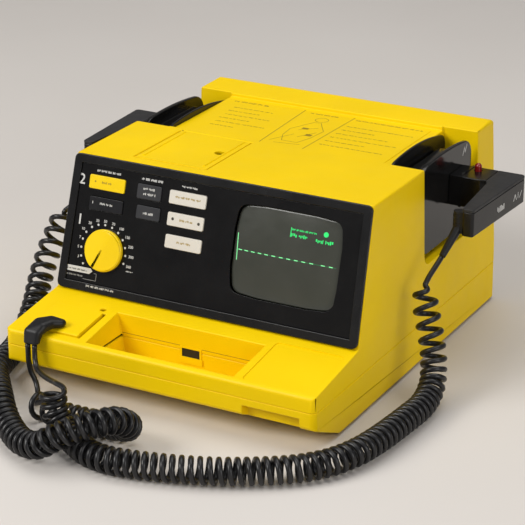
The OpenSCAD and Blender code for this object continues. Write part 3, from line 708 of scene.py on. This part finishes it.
def make_panel_print():
    """The dial's dots and numbers, the step numbers, and lines in the place of small lettering."""
    dots = [(-120.5, 23.6), (-123.2, 29.9), (-124.2, 37.4), (-123.6, 44.6), (-121.0, 50.9), (-116.0, 56.0),
            (-109.9, 58.9), (-103.2, 59.7), (-96.2, 58.6), (-89.6, 55.3), (-84.4, 50.0), (-81.2, 43.8),
            (-80.0, 37.2), (-80.8, 30.3)]
    numbers = ["2", "3", "5", "7", "10", "20", "30", "50", "70", "100", "150", "200", "300", "360"]
    white = [disc(u, v, 1.0) for u, v in dots]
    for (u, v), number in list(zip(dots, numbers))[1:]:
        out = Vector((u - DIAL_U, v - DIAL_V)).normalized()
        reach = 3.0 + (len(number) - 1) * 1.35 * abs(out.x)
        white += figures(number, 3.3, u + out.x * reach, v + out.y * reach)
    white += figures("2", 12.5, -131.2, 94.9) + figures("1", 12.5, -128.8, 60.5)
    white += lettering(-117.5, 103.8, -93.5, 1.9, 1) + lettering(-73, 103.8, -52.6, 2.0, 2)
    white += lettering(-34, 103.6, -18.8, 1.7, 3)
    white += lettering(-77.5, 23.9, -70.5, 1.2, 5)
    white.append([(-140.2, 15.4), (-113.2, 15.6), (-110.2, 18.2), (-112.2, 20.6), (-140.2, 20.2)])
    printed("panel_print", white, on_face, WHITE_INK, "case")
    printed("bezel_print", lettering(-114, 4.4, -86, 1.9, 4), on_bezel, WHITE_INK, "case")
    grey = lettering(-138.8, 11.9, -119.6, 1.4, 6)
    grey += chain([(-119, 10.6), (-106, 10.6), (-106, 16.8), (-108.6, 16.8)], 0.35)
    printed("panel_fine_print", grey, on_face, SOFT_INK, "case")

    def on_arrow(u, v, h):
        return on_face(u, v, 0.05 + h)
    words = lettering(-137.5, 17.0, -115.5, 1.5, 7)
    printed("label_box_print", words, on_arrow, DARK_INK, "case")


def make_key_print():
    """Lines in the place of lettering on the key caps, with a few dots and a mark."""
    charge = lettering(-111, 94.3, -99.6, 1.9, 11) + [disc(-117.4, 95.3, 0.8)]
    printed("charge_print", charge, on_key, LABEL_INK, "charge_key_cap")
    disarm = lettering(-110.4, 76.2, -97, 1.9, 12) + [bar(-118, 76.2, -117.4, 78.4)]
    printed("disarm_print", disarm, on_key, WHITE_INK, "disarm_key_cap")
    printed("sync_print", lettering(-70, 95.8, -57, 2.1, 13) + lettering(-69.6, 91.4, -57.4, 2.1, 14), on_key,
            WHITE_INK, "sync_key_cap")
    alarm = lettering(-67.6, 75.2, -56.8, 2.1, 15)
    printed("alarm_print", alarm, on_key, WHITE_INK, "alarm_key_cap")
    lead = lettering(-38.6, 94.1, -14.4, 1.8, 16)
    printed("lead_print", lead, on_key, LABEL_INK, "lead_key_cap")
    printed("size_print", lettering(-32, 75.1, -19, 1.8, 17), on_key, LABEL_INK, "size_key_cap")
    dots = [disc(-38.6, 76.3, 1.3), disc(-13.6, 75.9, 1.3)]
    printed("size_dots", dots, on_key, DARK_INK, "size_key_cap")
    record = lettering(-32.2, 56.4, -18, 1.8, 18)
    printed("record_print", record, on_key, LABEL_INK, "record_key_cap")


def make_screen_print():
    """A flat trace of dashes with a calibration bar, and blocks in the place of the readings."""
    centres = [26.3, 32.2, 38.5, 44.9, 51.2, 57.9, 64.8, 71.7, 78.6, 85.3, 92.5, 102.7, 109.8]
    trace = [stroke((u - 1.7, 61.75), (u + 1.7, 61.7), 0.75) for u in centres]
    trace += dashes((22.6, 75.2), (24.0, 52.8), 0.7)
    printed("screen_trace", trace, on_glass, PALE_GREEN_INK, "case")
    printed("screen_glow", dashes((23.5, 61.8), (114.5, 61.6), 0.45), on_glass, FAINT_GREEN_INK, "case",
            thick=0.02)
    glow = lettering(71.4, 85.6, 94.0, 1.6, 21) + lettering(71.2, 80.4, 88.5, 2.9, 22)
    glow += lettering(93.6, 79.2, 109.0, 3.0, 23) + [disc(101.8, 87.0, 2.2)]
    glow += dashes((70.7, 80.0), (70.7, 88.0), 0.6)
    printed("screen_readings", glow, on_glass, GREEN_INK, "case")


def make_label_print():
    """Column rules, lines in the place of small lettering, and outline pictures."""
    top = 169.4

    def on_label(x, y, h):
        return at(x, y, top + h)
    rules = [stroke((-26, 316), (-21, 215), 0.8), stroke((24, 316), (21, 215), 0.8)]
    rules += lettering(-96, 308, -60, 3.4, 31)
    rules += lettering(-18, 309, 12, 2.6, 32) + lettering(28, 309, 94, 2.4, 33)
    left_rows = (-88, -48), (-88, -56), (-86, -40), (-86, -54), (-84, -34), (-84, -60)
    for row, (left, right) in enumerate(left_rows):
        rules += lettering(left, 292 - row * 10.5, right, 2.0, 40 + row)
    for row, right in enumerate((92, 60, 78, 92, 66, 88)):
        rules += lettering(28, 290 - row * 11, right, 2.0, 50 + row)
    body = [(-14, 262), (-7, 278), (-3, 287), (4, 288), (9, 279),
            (16, 268), (14, 246), (9, 230), (-6, 230), (-12, 244)]
    rules += chain(body + body[:1], 0.6) + ring(0.5, 296, 6, 0.6)
    arms = ((-6, 262), (8, 274)), ((2, 244), (12, 262)), ((-16, 226), (-4, 250)), ((-10, 222), (14, 226))
    rules += [stroke(a, b, 0.6) for a, b in arms]
    rules += [bar(-5, 266, 1, 270), bar(6, 250, 12, 255)]
    printed("label_lines", rules, on_label, LABEL_INK, "case", thick=0.04)


def make_paddle_print():
    """Short marks on the outer face of each grip and on the guard."""
    grip_x, slope = 190.6, (196.2 - 190.6) / (296.5 - 196)  # the grip's face at y 196, and how it leans out
    guard_x = 137.6
    for side, sign in (("apex", 1), ("sternum", -1)):
        def on_grip(y, z, h, sign=sign):
            return at(sign * (grip_x + (y - 196) * slope + h), y, z)

        def on_guard(y, z, h, sign=sign):
            return at(sign * (guard_x + h), y, z)
        marks = lettering(243, 132, 262, 5.2, 61) + chain([(275, 132.5), (278, 138), (281, 132.5)], 0.9)
        marks += [stroke((284, 133), (284, 138.5), 0.9), stroke((287, 132.5), (291, 138), 0.9)]
        printed(side + "_grip_print", marks, on_grip, WHITE_INK, side + "_paddle")
        zigzag = chain([(297, 158), (300.5, 165), (302, 159.5), (306, 166.5)], 1.1)
        printed(side + "_guard_print", zigzag, on_guard, WHITE_INK, side + "_paddle")


def make_tray_slot():
    """A flat black patch on the tray's rear wall, painted shade in the place of the slot's shaded inside,
    framed by a thin lip, with a ledge below it.
    """
    wall_y = 58

    def wall(x, z, h):
        return at(x, wall_y - h, z)
    # the slot's inside is not cut: this black patch is painted shade in its place
    printed("tray_slot", [bar(-8.2, 31, 8.8, 38.6)], wall, SLOT_SHADE, "case", thick=0.12)
    lip = [bar(-10, 38.6, 10.6, 39.7), bar(-10, 31, -8.2, 38.6), bar(8.8, 31, 10.6, 38.6)]
    printed("tray_slot_lip", lip, wall, YELLOW, "case", thick=0.6)
    printed("tray_slot_ledge", [bar(-11, 25.5, 11.6, 31)], wall, YELLOW, "case", thick=1.2)
    line = [bar(-68.5, 39.9, -10.2, 40.4), bar(10.8, 39.9, 68.5, 40.4)]
    printed("tray_wall_line", line, wall, LABEL_INK, "case", thick=0.03)


make_panel_print()
make_key_print()
make_screen_print()
make_label_print()
make_paddle_print()
make_tray_slot()


# ---------------------------------------------------------------- stage and light

def make_stage():
    """A pale floor that curves up far behind the object."""
    back, curve, height, half_width = 5.0, 1.2, 5.0, 7.0
    profile = [(-back, 0.0), (back, 0.0)]
    for a in np.linspace(0.1, math.pi / 2, 12):
        profile.append((back + curve * math.sin(a), curve - curve * math.cos(a)))
    profile += [(back + curve, height)]
    points = [(x, y, z) for y, z in profile for x in (-half_width, half_width)]
    faces = [(2 * i, 2 * i + 1, 2 * i + 3, 2 * i + 2) for i in range(len(profile) - 1)]
    n = Nodes("backdrop")
    paper = n.ramp(n.noise(1.5, 3), [(0.3, (0.62, 0.585, 0.55)), (0.7, (0.66, 0.625, 0.59))])
    n.link(paper, n.bsdf.inputs["Base Color"])
    n.link(n.bump(n.noise(900, 2), 0.00008, 0.3), n.bsdf.inputs["Normal"])
    n.set(Roughness=0.75, Specular_IOR_Level=0.2)
    floor = mesh_object("backdrop", points, faces, n.material)
    floor.rotation_euler = (0, 0, math.radians(28.23))


def area_light(name, place, target, size, power, colour):
    data = bpy.data.lights.new(name, "AREA")
    data.shape, data.size, data.size_y = "RECTANGLE", size[0], size[1]
    data.energy, data.color = power, colour
    lamp = bpy.data.objects.new(name, data)
    lamp.location = place
    lamp.rotation_mode = "QUATERNION"
    lamp.rotation_quaternion = (Vector(target) - Vector(place)).to_track_quat("-Z", "Y")
    SCENE.collection.objects.link(lamp)


make_stage()
area_light("key", (-1.3, -1.9, 1.7), (0, 0, 0.05), (1.6, 1.2), 56, (1, 0.98, 0.95))
area_light("top", (0.2, 0.3, 2.5), (0, 0, 0), (2.2, 2.0), 34, (1, 0.99, 0.97))
area_light("side", (2.3, -1.2, 1.0), (0, 0, 0.1), (1.2, 1.4), 22, (1, 0.98, 0.96))
world = bpy.data.worlds.new("world")
world.use_nodes = True
world.node_tree.nodes["Background"].inputs["Color"].default_value = (0.95, 0.96, 1.0, 1)
world.node_tree.nodes["Background"].inputs["Strength"].default_value = 0.22
SCENE.world = world
SCENE.view_settings.view_transform = "Standard"
